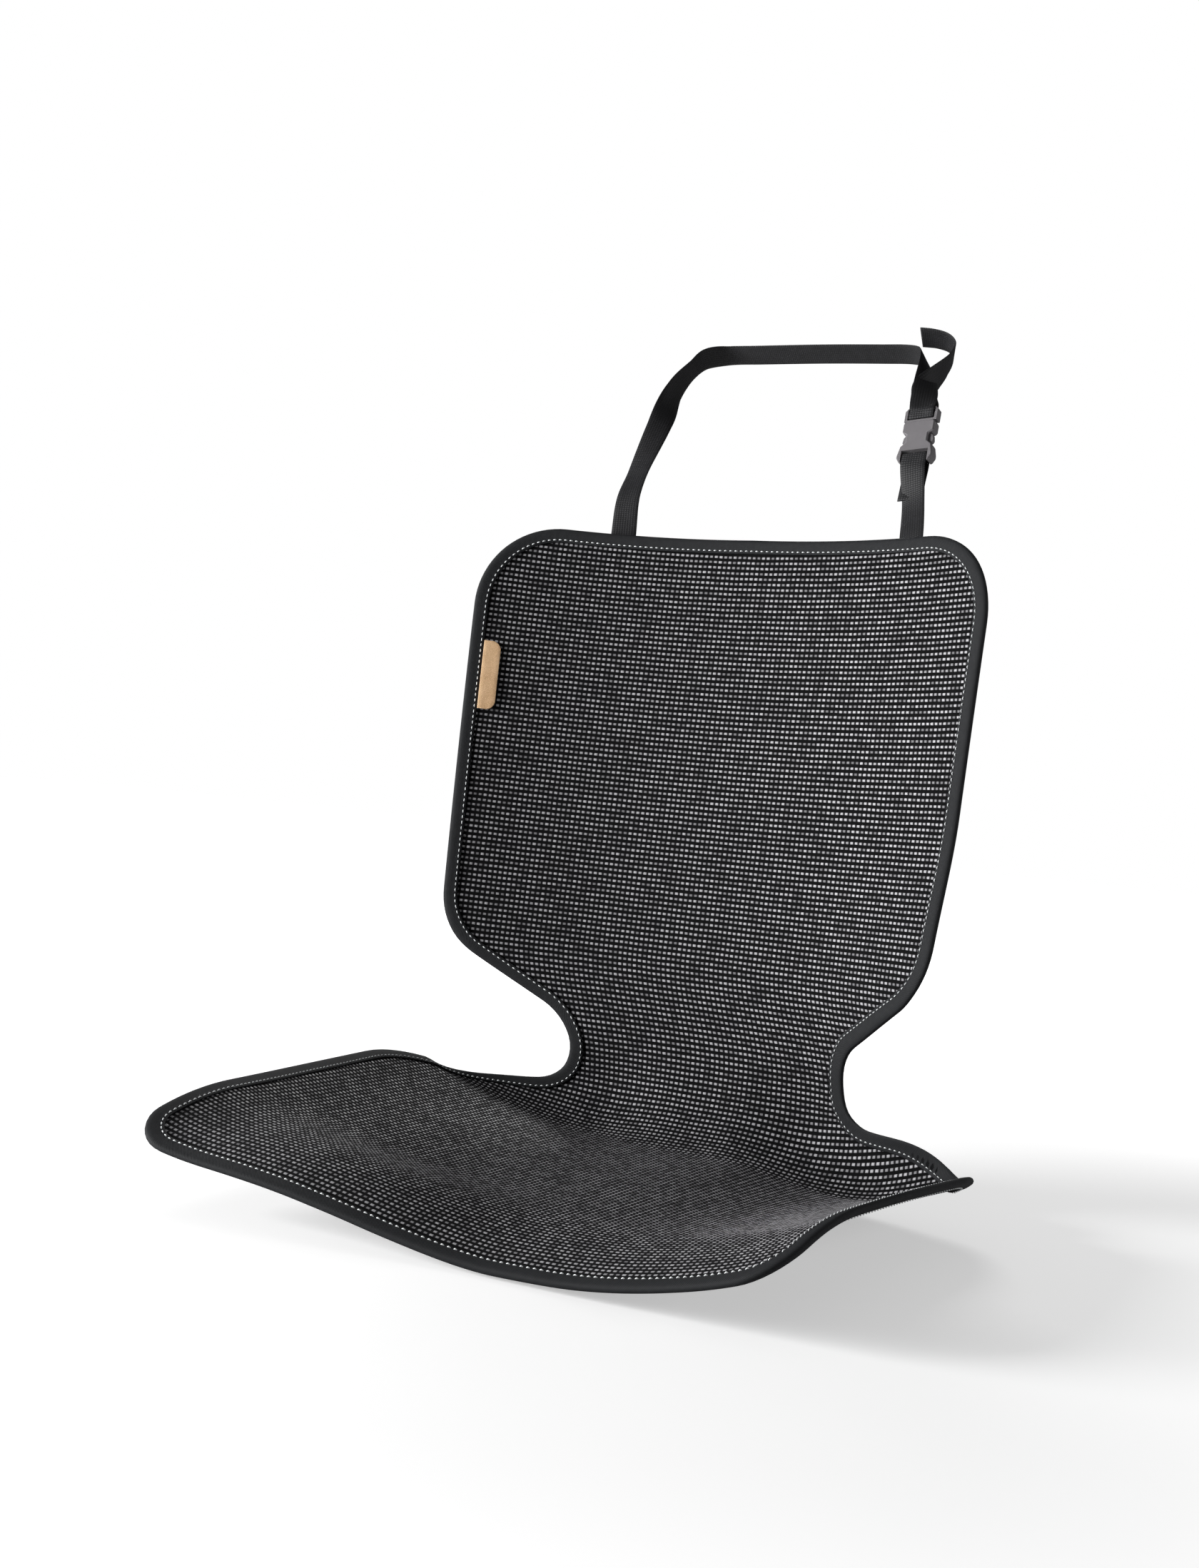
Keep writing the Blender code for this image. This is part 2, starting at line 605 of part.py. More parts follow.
def build_latch(collection, cutters, material):
    base = MOUTH_Z + BUCKLE_CLEAR
    fork_depth = CAVITY_DEPTH - 2 * BUCKLE_CLEAR
    button_high = WINDOW_HIGH_Z - 0.0012
    button_low = WINDOW_LOW_Z + 0.0020
    root = base - 0.0024
    fork = [(TONGUE_WIDTH / 2, CAVITY_LOW_Z + 0.0030), (TONGUE_WIDTH / 2, root), (PRONG_INNER_X, root),
            (PRONG_INNER_X, button_low + 0.0015), (PRONG_OUTER_X - 0.0008, button_low - 0.0008),
            (BUTTON_X - 0.0008, button_low + 0.0004), (BUTTON_X, button_low + 0.0020),
            (BUTTON_X - 0.0006, button_high - 0.0022), (PRONG_OUTER_X, button_high),
            (PRONG_OUTER_X, base + 0.0008)]
    item = plate("buckle_latch", fork, fork_depth, collection, material)
    width = FRAME_WIDTH / 2
    frame_outline = [(width, base), (width, FRAME_HIGH_Z - 0.003), (width - 0.003, FRAME_HIGH_Z)]
    frame = plate("latch_frame", frame_outline, FRAME_DEPTH, cutters)
    frame.hide_render = True
    frame.display_type = "WIRE"
    combine(item, frame, "UNION")
    half = FRAME_DEPTH / 2 + 0.001
    slot_low = base + LATCH_SILL
    bar_low = slot_low + LATCH_SLOT
    bar_high = bar_low + BAR_HEIGHT
    top_low = FRAME_HIGH_Z - 0.0026
    cuts = [
        box("cut_latch_slot", SLOT_WIDTH, -half, half, slot_low, bar_low, cutters),
        box("cut_latch_gap", SLOT_WIDTH, -half, half, bar_high, top_low, cutters),
        box("cut_latch_front", SLOT_WIDTH, -half, -BAR_DEPTH / 2, slot_low, FRAME_HIGH_Z + 0.001, cutters),
        box("cut_latch_rear", SLOT_WIDTH, BAR_DEPTH / 2, half, slot_low, FRAME_HIGH_Z + 0.001, cutters),
    ]
    for cutter in cuts:
        combine(item, cutter, "DIFFERENCE")
    soften(item, 0.0003)
    return item


clear_scene()
parts = new_collection(COLLECTION_NAME)
cutters = new_collection("cutters")
build_panel(parts)
build_binding(parts)
build_tag(parts)
webbing = make_material("strap_webbing", (0.034, 0.034, 0.037), 0.7)
build_main_strap(parts, webbing)
build_buckle_strap(parts, webbing)
plastic = make_material("buckle_plastic", (0.16, 0.15, 0.16), 0.45)
build_socket(parts, cutters, plastic)
build_latch(parts, cutters, plastic)
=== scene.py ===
"""Car seat protector mat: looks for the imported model. Metres, in the row's frame."""

from math import atan2, cos, pi, radians, sin, tan

import bmesh
import bpy
import numpy as np
from mathutils import Matrix, Vector


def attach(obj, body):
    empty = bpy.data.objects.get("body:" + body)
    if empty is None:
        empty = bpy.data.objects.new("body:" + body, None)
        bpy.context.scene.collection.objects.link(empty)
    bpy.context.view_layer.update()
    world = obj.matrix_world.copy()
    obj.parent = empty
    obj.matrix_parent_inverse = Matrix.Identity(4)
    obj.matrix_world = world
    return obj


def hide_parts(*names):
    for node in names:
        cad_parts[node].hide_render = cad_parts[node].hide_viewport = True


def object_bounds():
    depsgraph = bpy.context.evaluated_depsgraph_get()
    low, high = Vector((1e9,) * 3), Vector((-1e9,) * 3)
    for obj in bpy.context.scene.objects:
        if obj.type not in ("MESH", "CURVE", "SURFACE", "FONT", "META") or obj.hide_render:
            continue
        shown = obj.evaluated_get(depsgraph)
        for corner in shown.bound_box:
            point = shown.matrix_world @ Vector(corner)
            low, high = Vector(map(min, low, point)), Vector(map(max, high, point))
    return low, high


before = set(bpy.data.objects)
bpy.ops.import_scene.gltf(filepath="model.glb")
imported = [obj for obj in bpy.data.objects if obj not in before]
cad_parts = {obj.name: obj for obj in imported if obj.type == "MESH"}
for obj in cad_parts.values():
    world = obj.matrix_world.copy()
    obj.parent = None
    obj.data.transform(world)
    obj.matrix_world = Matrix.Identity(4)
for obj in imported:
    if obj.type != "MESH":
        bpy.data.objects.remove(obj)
CAD_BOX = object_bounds()

# Camera and stage.
CAMERA_PLACE = (0.5824, -1.1384, 0.2674)
CAMERA_YAW = 27.52
CAMERA_DIP = 0.28
CAMERA_ROLL = 4.87
CAMERA_LENS = 43.996
STAGE_SIZE = 14.0

# Cut of the flat sheet, as in the solids: across is u, along is v.
BACK_WIDTH = 0.428
BACK_LOWER_WIDTH = 0.408
BACK_CORNER_V = 0.346
BACK_LOWER_V = 0.030
NECK_WIDTH = 0.110
NECK_V = -0.056
SEAT_REAR_WIDTH = 0.480
SEAT_REAR_V = -0.106
SEAT_FRONT_WIDTH = 0.442
SEAT_FRONT_V = -0.453
EDGE_CROWN = 0.003
TOP_RADIUS = 0.063
LOWER_RADIUS = 0.054
NOTCH_RADIUS = 0.035
REAR_RADIUS = 0.110
FRONT_RADIUS = 0.030
SHEET = 0.0026

# Drape, as in the solids.
BACK_LEAN = radians(4.4)      # lean of the back panel at the fold
BACK_BOW_RADIUS = 6.7         # the back panel bows back very slightly
TOP_ROLL_V = 0.25             # above this it rolls back further
TOP_ROLL = radians(1.4)       # by this much at its edge
FOLD_V = -0.060               # the fold starts here
FOLD_RADIUS = 0.048
FRONT_ROLL_RADIUS = 0.26      # the front edge rolls down
FRONT_ROLL_LENGTH = 0.090
BACK_HOLLOW_RADIUS = 0.42     # hollow of the back panel, side to side
SEAT_HOLLOW_RADIUS = 0.31     # curl of the seat panel's sides
SEAT_FLAT_WIDTH = 0.146
SIDE_SWAY = 0.018             # the seat panel lies this far to +X of the back panel
LOBE_LIFT = 0.021             # the lower lobe on the +X side comes further forward
LOBE_START_U = 0.08
LOBE_RUN = 0.13
LOBE_TOP_V = 0.15
LOBE_FALL = 0.12
FOLD_DROP = 0.010             # the cloth beside the neck sinks at the fold
DROP_V = -0.080
DROP_REACH = 0.055
DROP_START_U = 0.02
DROP_RUN = 0.07
RIGHT_RISES = (-0.020, -0.004, 0.005)   # extra rise of the sides at the rear, middle and front
LEFT_RISES = (0.004, 0.006, 0.007)
RISE_START_U = 0.03
RISE_RUN = 0.13
FRONT_SWELL = 0.018           # and of the front edge left of its middle
SWELL_U = -0.10
SWELL_REACH = 0.14
SWELL_START_V = -0.30
SWELL_RUN = 0.13
SWAY_RUN = 0.08
DATUM_V = -0.240              # middle of the flat of the seat panel
FOLD_LEAN = BACK_LEAN + FOLD_V / BACK_BOW_RADIUS
FOLD_LENGTH = FOLD_RADIUS * (pi / 2 - FOLD_LEAN)
FRONT_ROLL_V = SEAT_FRONT_V + FRONT_ROLL_LENGTH

# Weave: beads of coated yarn in rows. The drifts keep them from a perfect grid.
ROW_PITCH = 0.0041
BEAD_PITCH = 0.0039
ROW_HEIGHT = 0.0004
ROW_DRIFT = 0.0005
ROW_DRIFT_RUN = 0.0222        # a drift comes and goes over this length
BEAD_DRIFT = 0.0006
BEAD_DRIFT_RUN = 0.0167
BEAD_LEAST = 0.58             # strength of the dullest bead
BEAD_CHANCE = 0.50            # and what chance adds to it
BETWEEN_BEADS = 0.32          # share of a row's strength between two beads
ROW_STEPS = 4                 # points of the mesh for each row
SHEET_COLUMNS = 45
SHEET_INSET = 0.003           # the visible sheet ends this far inside its cut edge, under the tape
CLOTH = 0.0021
FACE_HEIGHT = 0.0010          # upper face under the tape, off the middle of the solid sheet
FACE_LIFT = 0.0002            # and this much higher beside the tape
FACE_OVERLAP = 0.001
FACE_RUN = 0.004

# Binding tape. Each corner of its section is an inset from the cut edge and a height off the sheet's middle.
GAP = 0.0003
TAPE = 0.0008
TAPE_LIP = 0.010
TAPE_CLEARANCE = 0.0008
TAPE_STEP = 0.005
TAPE_OUTSIDE = ((0.0100, 0.0016), (0.0099, 0.0022), (0.0093, 0.0025), (0.0070, 0.0024), (0.0045, 0.0025),
                (0.0018, 0.0024), (0.0000, 0.0019), (-0.0010, 0.0008))
TAPE_INSIDE = (0.0006, 0.0015)
TAPE_HIDDEN = 0.003           # length that the pattern gives to the hidden face under the upper lip
TWILL_PITCH = 0.0011
TAPE_FUZZ = 0.00385

# Stitches.
STITCH_INSET = 0.0080
STITCH_PITCH = 0.0043
STITCH_LENGTH = 0.0024
STITCH_HEIGHT = 0.0024        # off the middle of the sheet
STITCH_ARCH = 0.45            # share of the thread's width
STITCH_TAPER = 0.45           # width towards a stitch's ends, as a share of its middle
STITCH_BLUNT = 0.08           # it stops narrowing this far from each end, as a share of its length
STITCH_POINTS = 6
STITCH_SIDES = 5
STITCH_LINE_STEP = 0.002
THREAD = 0.00100
THREAD_FLECK = 0.00111

# Tag.
TAG_LENGTH = 0.053
TAG_WIDTH = 0.0135
TAG_THICKNESS = 0.0013
TAG_V = 0.227
TAG_RADIUS = 0.007
TAG_EASED_EDGE = 0.0004
TAG_ROWS = 20
TAG_COLUMNS = 4
LEATHER_PEBBLE = 0.00091
LEATHER_CLOUD = 0.0143

# Webbing and buckle, as in the solids.
WEB_WIDTH = 0.020
WEB = 0.0012
WEB_SELVEDGE = 0.0009         # width of the rounded edge
WEB_RIM = 0.0002              # and of its outermost part
WEB_RIM_SHARE = 0.6           # thickness where that starts, as a share
WEFT_PITCH = 0.0017
WARP_PITCH = 0.0020
WEB_CLOUD = 0.00833
LEFT_STRAP_PLACE = -0.106     # u of the strap ends at the top edge
RIGHT_STRAP_PLACE = 0.131
SEWN_LENGTH = 0.024           # strap behind the top edge of the sheet
FOLD_BACK = 0.030             # sewn return of the short strap below the buckle

# x, y and z from the middle of the top edge, and the turn of the width from level (0) to leaning (90).
LOOP_LEAN = Vector((0.0, 0.81, -0.585))
LOOP_LEFT = ((-0.110, 0.001, 0.032, 0), (-0.112, 0.019, 0.057, -8), (-0.110, 0.045, 0.099, 20),
             (-0.110, 0.067, 0.131, 78), (-0.106, 0.087, 0.152, 100), (-0.101, 0.102, 0.165, 95))
LOOP_BACK = ((-0.087, 0.115, 0.1705, 90), (-0.060, 0.1155, 0.1705, 90), (0.0, 0.116, 0.170, 90),
             (0.050, 0.1155, 0.1685, 90), (0.072, 0.113, 0.167, 90))
LOOP_RIGHT = ((0.086, 0.105, 0.1625, 85), (0.0955, 0.088, 0.150, 66), (0.1045, 0.062, 0.130, 32))
TAIL = ((0.1090, 0.0482, 0.1170, 14), (0.1030, 0.0640, 0.1285, 40), (0.1050, 0.0760, 0.1380, 76),
        (0.1115, 0.0900, 0.1530, 104), (0.1120, 0.1000, 0.1650, 108), (0.1060, 0.1050, 0.1730, 98),
        (0.0950, 0.1055, 0.1770, 90), (0.0830, 0.1050, 0.1785, 90))
SHORT_STRAP_BEND = ((0.1215, 0.0062, 0.033, -22),)
BUCKLE_PLACE = Vector((0.1158, 0.0247, 0.0845))   # from the middle of the top edge
BUCKLE_UP = Vector((-0.04, 0.33, 0.94)).normalized()
BUCKLE_TURN = radians(8)      # it faces a little to -X
MOUTH_Z = 0.0110
SOCKET_LOW_Z = -0.0230
SLOT_LOW_Z = -0.0170
FRAME_HIGH_Z = 0.0235
BAR_DEPTH = 0.0036
BAR_SPARE = 0.0007            # room between a bar's edge and the webbing that turns round it
BAR_CORNER = 0.85             # where the webbing turns round a bar, as a share of the way
BUCKLE_CLEAR = 0.0004
LATCH_SILL = 0.0016
LATCH_SLOT = 0.0024
LATCH_BAR_LOW_Z = MOUTH_Z + BUCKLE_CLEAR + LATCH_SILL + LATCH_SLOT
LATCH_WRAP_END = 0.001        # the latch's wrap ends this far below the top of its frame
SOCKET_WRAP_END = 0.004       # and the socket's this far below its lower edge
RETURN_STEP = 0.0012          # the sewn return comes this much closer to the strap at each of its points
ACETAL_GRAIN = 0.000667
ACETAL_CLOUD = 0.00833

# Light and floor. A lamp is its place, target, width and power.
WORLD_LEVEL = 0.12
LAMPS = {
    "key": ((-2.10, -1.40, 0.65), (0.0, 0.0, 0.42), 1.2, 126.0),
    "rear": ((-0.9, 1.9, 1.5), (-0.2, 0.0, 0.1), 1.0, 19.0),
    "side": ((2.4, 0.6, 1.0), (-0.1, 0.0, 0.0), 1.0, 12.0),
}
FLOOR_GAP = 0.0006
GLOW_NEAR = 0.45              # what the floor adds for the camera near the mat
GLOW_RISE = 0.55              # and what comes to it further out
GLOW_START = 0.45
GLOW_END = 1.3


def smooth_step(t):
    t = np.clip(t, 0.0, 1.0)
    return t * t * (3.0 - 2.0 * t)


def lean_at(v):
    """Lean of the sheet along its length: back panel, fold, then seat panel with its rolled front."""
    roll = np.maximum(v - TOP_ROLL_V, 0.0) / (BACK_CORNER_V - TOP_ROLL_V)
    back = BACK_LEAN + v / BACK_BOW_RADIUS + TOP_ROLL * roll ** 2
    fold = FOLD_LEAN + (FOLD_V - v) / FOLD_RADIUS
    seat = pi / 2 - np.maximum(FRONT_ROLL_V - v, 0.0) / FRONT_ROLL_RADIUS
    return np.where(v > FOLD_V, back, np.where(v > FOLD_V - FOLD_LENGTH, fold, seat))


def trace_centre_line(step=0.001, margin=0.03):
    """Places along the sheet's middle line, with the y and z of each."""
    lowest = SEAT_FRONT_V - margin
    count = int((BACK_CORNER_V + margin - lowest) / step) + 1
    along = lowest + step * np.arange(count)
    leans = lean_at(along[:-1] + step / 2)
    ys = np.concatenate(([0.0], np.cumsum(np.sin(leans)) * step))
    zs = np.concatenate(([0.0], np.cumsum(np.cos(leans)) * step))
    ys -= np.interp(DATUM_V, along, ys)
    zs += SHEET / 2 - np.interp(DATUM_V, along, zs)
    return along, ys, zs


CENTRE_LINE = trace_centre_line()


def hollow(u, flat_half_width, radius):
    """A flat middle with sides that curl up: across, rise and angle."""
    run = np.maximum(np.abs(u) - flat_half_width, 0.0)
    angle = run / radius
    x = np.minimum(np.abs(u), flat_half_width) + radius * np.sin(angle)
    side = np.where(u >= 0, 1.0, -1.0)
    return side * x, radius * (1.0 - np.cos(angle)), side * angle


def side_rise(u, v):
    """How much higher than its even hollow each side of the seat panel lies, from its rear to its front."""
    rear, middle, front = [np.where(u > 0, right, left) for right, left in zip(RIGHT_RISES, LEFT_RISES)]
    run = np.clip((SEAT_REAR_V - v) / (SEAT_REAR_V - SEAT_FRONT_V), 0.0, 1.0)
    along = rear * (1 - run) * (1 - 2 * run) + middle * 4 * run * (1 - run) + front * run * (2 * run - 1)
    swell = smooth_step(1.0 - np.abs(u - SWELL_U) / SWELL_REACH)
    swell = swell * smooth_step((SWELL_START_V - v) / SWELL_RUN)
    return along * smooth_step((np.abs(u) - RISE_START_U) / RISE_RUN) + FRONT_SWELL * swell


def drape(u, v, w):
    """Points of the draped sheet for arrays of flat places, w above its middle."""
    u, v, w = np.broadcast_arrays(np.asarray(u, float), np.asarray(v, float), np.asarray(w, float))
    along, ys, zs = CENTRE_LINE
    lean = lean_at(v)
    seat = smooth_step((FOLD_V - v) / FOLD_LENGTH)
    back_x, back_rise, back_angle = hollow(u, 0.0, BACK_HOLLOW_RADIUS)
    seat_x, seat_rise, seat_angle = hollow(u, SEAT_FLAT_WIDTH / 2, SEAT_HOLLOW_RADIUS)
    x = back_x + (seat_x - back_x) * seat
    back_rise = back_rise + LOBE_LIFT * smooth_step((u - LOBE_START_U) / LOBE_RUN) * smooth_step(
        (LOBE_TOP_V - v) / LOBE_FALL)
    rise = back_rise + (seat_rise + side_rise(u, v) - back_rise) * seat
    rise = rise - FOLD_DROP * smooth_step((np.abs(u) - DROP_START_U) / DROP_RUN) * smooth_step(
        1.0 - np.abs(v - DROP_V) / DROP_REACH)
    angle = back_angle + (seat_angle - back_angle) * seat
    sway = SIDE_SWAY * smooth_step((BACK_LOWER_V - v) / SWAY_RUN)
    lift = rise + w * np.cos(angle)
    return np.stack((x + sway - w * np.sin(angle), np.interp(v, along, ys) - lift * np.cos(lean),
                     np.interp(v, along, zs) + lift * np.sin(lean)), axis=-1)


TOP_MIDDLE = Vector(drape(0.0, BACK_CORNER_V + EDGE_CROWN, 0.0).tolist())


def rounded_path(corners, arc_step=radians(5)):
    """Points of a path whose inner corners, given as across, along and radius, are rounded."""
    points = [Vector(corners[0][:2])]
    for before, corner, after in zip(corners[:-2], corners[1:-1], corners[2:]):
        place = Vector(corner[:2])
        to_before = (Vector(before[:2]) - place).normalized()
        to_after = (Vector(after[:2]) - place).normalized()
        half = to_before.angle(to_after) / 2
        radius = corner[2]
        centre = place + (to_before + to_after).normalized() * (radius / sin(half))
        first = place + to_before * (radius / tan(half)) - centre
        last = place + to_after * (radius / tan(half)) - centre
        turn = atan2(last.y, last.x) - atan2(first.y, first.x)
        turn = (turn + pi) % (2 * pi) - pi
        steps = max(2, round(abs(turn) / arc_step))
        for index in range(steps + 1):
            angle = turn * index / steps
            points.append(centre + Vector((first.x * cos(angle) - first.y * sin(angle),
                                           first.x * sin(angle) + first.y * cos(angle))))
    points.append(Vector(corners[-1][:2]))
    return points


def half_outline():
    return np.array(rounded_path([
        (0.0, BACK_CORNER_V + EDGE_CROWN, 0.0),
        (BACK_WIDTH / 2, BACK_CORNER_V, TOP_RADIUS),
        (BACK_LOWER_WIDTH / 2, BACK_LOWER_V, LOWER_RADIUS),
        (NECK_WIDTH / 2, NECK_V, NOTCH_RADIUS),
        (SEAT_REAR_WIDTH / 2, SEAT_REAR_V, REAR_RADIUS),
        (SEAT_FRONT_WIDTH / 2, SEAT_FRONT_V, FRONT_RADIUS),
        (0.0, SEAT_FRONT_V, 0.0),
    ]))


def resampled(points, step, closed=False):
    """Points at equal steps along a path, and the distance of each along it."""
    path = np.vstack((points, points[:1])) if closed else points
    lengths = np.concatenate(([0.0], np.cumsum(np.linalg.norm(np.diff(path, axis=0), axis=1))))
    count = max(2, round(lengths[-1] / step))
    places = np.linspace(0.0, lengths[-1], count + 1)
    if closed:
        places = places[:-1]
    columns = [np.interp(places, lengths, path[:, axis]) for axis in range(path.shape[1])]
    return np.stack(columns, axis=1), places


def whole_outline():
    half = half_outline()
    return np.vstack((half, half[-2:0:-1] * (-1.0, 1.0)))


def inward_directions(outline):
    before = outline - np.roll(outline, 1, axis=0)
    after = np.roll(outline, -1, axis=0) - outline
    run = before / np.linalg.norm(before, axis=1)[:, None] + after / np.linalg.norm(after, axis=1)[:, None]
    run /= np.linalg.norm(run, axis=1)[:, None]
    return np.stack((run[:, 1], -run[:, 0]), axis=1)


def distance_to_edge(u, v, outline):
    places = np.stack((u.ravel(), v.ravel()), axis=1)
    best = np.full(len(places), 1.0)
    following = np.roll(outline, -1, axis=0)
    for start, end in zip(outline, following):
        run = end - start
        t = np.clip(((places - start) @ run) / (run @ run), 0.0, 1.0)
        gap = np.linalg.norm(places - start - t[:, None] * run, axis=1)
        best = np.minimum(best, gap)
    return best.reshape(u.shape)


def new_piece(name, mesh, material, node):
    item = bpy.data.objects.new(name, mesh)
    bpy.context.scene.collection.objects.link(item)
    mesh.materials.append(material)
    mesh.polygons.foreach_set("use_smooth", [True] * len(mesh.polygons))
    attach(item, "root")
    if node:
        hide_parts(node)
    return item


def grid_mesh(name, points, flat, wrap_rows=False, wrap_columns=False):
    """Mesh of a grid of points, rows by columns, with its flat places in metres as UVs."""
    rows, columns = points.shape[:2]
    index = np.arange(rows * columns).reshape(rows, columns)
    row_last = rows if wrap_rows else rows - 1
    column_last = columns if wrap_columns else columns - 1
    r = np.arange(row_last)[:, None]
    c = np.arange(column_last)[None, :]
    r1 = (r + 1) % rows
    c1 = (c + 1) % columns
    quads = np.stack((index[r, c], index[r, c1], index[r1, c1], index[r1, c]), axis=-1).reshape(-1, 4)
    mesh = bpy.data.meshes.new(name)
    mesh.from_pydata(points.reshape(-1, 3).tolist(), [], quads.tolist())
    full = np.stack(np.broadcast_arrays(*flat), axis=-1)
    corner_rows = np.stack((r + 0 * c, r + 0 * c, r + 1 + 0 * c, r + 1 + 0 * c), axis=-1).reshape(-1)
    corner_columns = np.stack((c + 0 * r, c + 1 + 0 * r, c + 1 + 0 * r, c + 0 * r), axis=-1).reshape(-1)
    layer = mesh.uv_layers.new(name="flat")
    layer.data.foreach_set("uv", full[corner_rows, corner_columns].astype(np.float32).ravel())
    return mesh


# Materials. Colours are sRGB as the eye sees them.
MULTIPLY = {"operation": "MULTIPLY"}
MULTIPLY_ADD = {"operation": "MULTIPLY_ADD"}
SMOOTH = {"interpolation_type": "SMOOTHSTEP"}
FLAT = {"noise_dimensions": "2D"}


def linear(colour):
    values = [int(colour[at:at + 2], 16) / 255 for at in (1, 3, 5)]
    return tuple(c / 12.92 if c <= 0.04045 else ((c + 0.055) / 1.055) ** 2.4 for c in values) + (1.0,)


def new_material(name):
    material = bpy.data.materials.new(name)
    material.use_nodes = True
    tree = material.node_tree
    return material, tree, tree.nodes["Principled BSDF"]


def fill_inputs(tree, node, inputs):
    """An input takes a node's first output, a socket or a plain value."""
    for name, source in inputs.items():
        if isinstance(source, bpy.types.Node):
            source = source.outputs[0]
        if isinstance(source, bpy.types.NodeSocket):
            tree.links.new(source, node.inputs[name])
        else:
            node.inputs[name].default_value = source


def add_node(tree, kind, settings=None, inputs=None):
    """Adds a node with its settings and links."""
    node = tree.nodes.new(kind)
    for name, value in (settings or {}).items():
        setattr(node, name, value)
    fill_inputs(tree, node, inputs or {})
    return node


def set_stops(ramp, stops):
    """Positions and colours of a ramp, from its low end."""
    for position, _ in stops[1:-1]:
        ramp.elements.new(position)
    for element, (position, colour) in zip(ramp.elements, stops):
        element.position = position
        element.color = linear(colour)


def flat_places(tree):
    """Place on the flat cloth in metres, whole and as its two parts."""
    uv = add_node(tree, "ShaderNodeUVMap", {"uv_map": "flat"})
    parts = add_node(tree, "ShaderNodeSeparateXYZ", inputs={0: uv})
    return uv, parts.outputs[0], parts.outputs[1]


def bead_wave(tree, place, pitch):
    """A wave from 0 to 1 with a crest at every whole pitch."""
    angle = add_node(tree, "ShaderNodeMath", MULTIPLY, {0: place, 1: 2 * pi / pitch})
    wave = add_node(tree, "ShaderNodeMath", {"operation": "COSINE"}, {0: angle})
    return add_node(tree, "ShaderNodeMath", MULTIPLY_ADD, {0: wave, 1: 0.5, 2: 0.5})


def cell_number(tree, place, pitch):
    """The whole number of the pitch that a place falls in."""
    share = add_node(tree, "ShaderNodeMath", {"operation": "DIVIDE"}, {0: place, 1: pitch})
    return add_node(tree, "ShaderNodeMath", {"operation": "ROUND"}, {0: share})


def make_weave():
    """Polyester mesh woven from coated yarn: each float is a small satin bead on a dark, matt ground. The
    beads' pale colour is partly the yarn's own and partly a painted highlight.
    """
    material, tree, shader = new_material("polyester_bead_weave")
    place, u, v = flat_places(tree)
    drift = add_node(tree, "ShaderNodeTexNoise", FLAT, {
        "Vector": place, "Scale": 1 / BEAD_DRIFT_RUN, "Detail": 1.0})
    across = add_node(tree, "ShaderNodeMath", MULTIPLY_ADD, {0: drift, 1: BEAD_DRIFT, 2: u})
    waver = add_node(tree, "ShaderNodeTexNoise", FLAT, {
        "Vector": place, "Scale": 1 / ROW_DRIFT_RUN, "Detail": 1.0})
    along = add_node(tree, "ShaderNodeMath", MULTIPLY_ADD, {0: waver, 1: ROW_DRIFT, 2: v})
    beads = bead_wave(tree, across, BEAD_PITCH)
    beads = add_node(tree, "ShaderNodeMapRange", SMOOTH, {"Value": beads, "From Min": 0.12, "From Max": 0.66})
    rows = bead_wave(tree, along, ROW_PITCH)
    rows = add_node(tree, "ShaderNodeMapRange", SMOOTH, {"Value": rows, "From Min": 0.36, "From Max": 0.80})
    cell = add_node(tree, "ShaderNodeCombineXYZ", inputs={
        0: cell_number(tree, across, BEAD_PITCH), 1: cell_number(tree, along, ROW_PITCH)})
    chance = add_node(tree, "ShaderNodeTexWhiteNoise", FLAT, {"Vector": cell})
    spread = add_node(tree, "ShaderNodeMath", MULTIPLY_ADD, {0: chance, 1: BEAD_CHANCE, 2: BEAD_LEAST})
    joined = add_node(tree, "ShaderNodeMath", MULTIPLY_ADD, {
        0: beads, 1: 1.0 - BETWEEN_BEADS, 2: BETWEEN_BEADS})
    bead = add_node(tree, "ShaderNodeMath", MULTIPLY, {0: rows, 1: joined})
    strength = add_node(tree, "ShaderNodeMath", MULTIPLY, {0: bead, 1: spread})
    shade = add_node(tree, "ShaderNodeValToRGB", inputs={0: strength})
    # The light end is the beads' pale yarn and, in part, a painted highlight on each bead.
    set_stops(shade.color_ramp, ((0.04, "#030304"), (0.38, "#242326"), (0.92, "#a7a6a9")))
    rough = add_node(tree, "ShaderNodeMapRange", inputs={"Value": strength, "To Min": 0.95, "To Max": 0.40})
    bump = add_node(tree, "ShaderNodeBump", inputs={"Height": bead, "Strength": 0.5, "Distance": 0.0006})
    fill_inputs(tree, shader, {
        "Base Color": shade, "Roughness": rough, "Specular IOR Level": 0.16, "Normal": bump})
    return material


def make_tape():
    """Polyester twill tape: fine slanting ribs with a soft, nearly matt face."""
    material, tree, shader = new_material("polyester_twill_tape")
    place, along, across = flat_places(tree)
    slant = add_node(tree, "ShaderNodeMath", {"operation": "ADD"}, {0: along, 1: across})
    twill = bead_wave(tree, slant, TWILL_PITCH)
    noise = add_node(tree, "ShaderNodeTexNoise", FLAT, {
        "Vector": place, "Scale": 1 / TAPE_FUZZ, "Detail": 3.0})
    fuzz = add_node(tree, "ShaderNodeMath", MULTIPLY, {0: noise, 1: 0.4})
    mixed = add_node(tree, "ShaderNodeMath", MULTIPLY_ADD, {0: twill, 1: 0.6, 2: fuzz})
    shade = add_node(tree, "ShaderNodeValToRGB", inputs={0: mixed})
    set_stops(shade.color_ramp, ((0.2, "#18191b"), (0.85, "#2a2b2d")))
    bump = add_node(tree, "ShaderNodeBump", inputs={"Height": mixed, "Strength": 0.6, "Distance": 0.0003})
    fill_inputs(tree, shader, {
        "Base Color": shade, "Roughness": 0.72, "Specular IOR Level": 0.18, "Normal": bump})
    return material


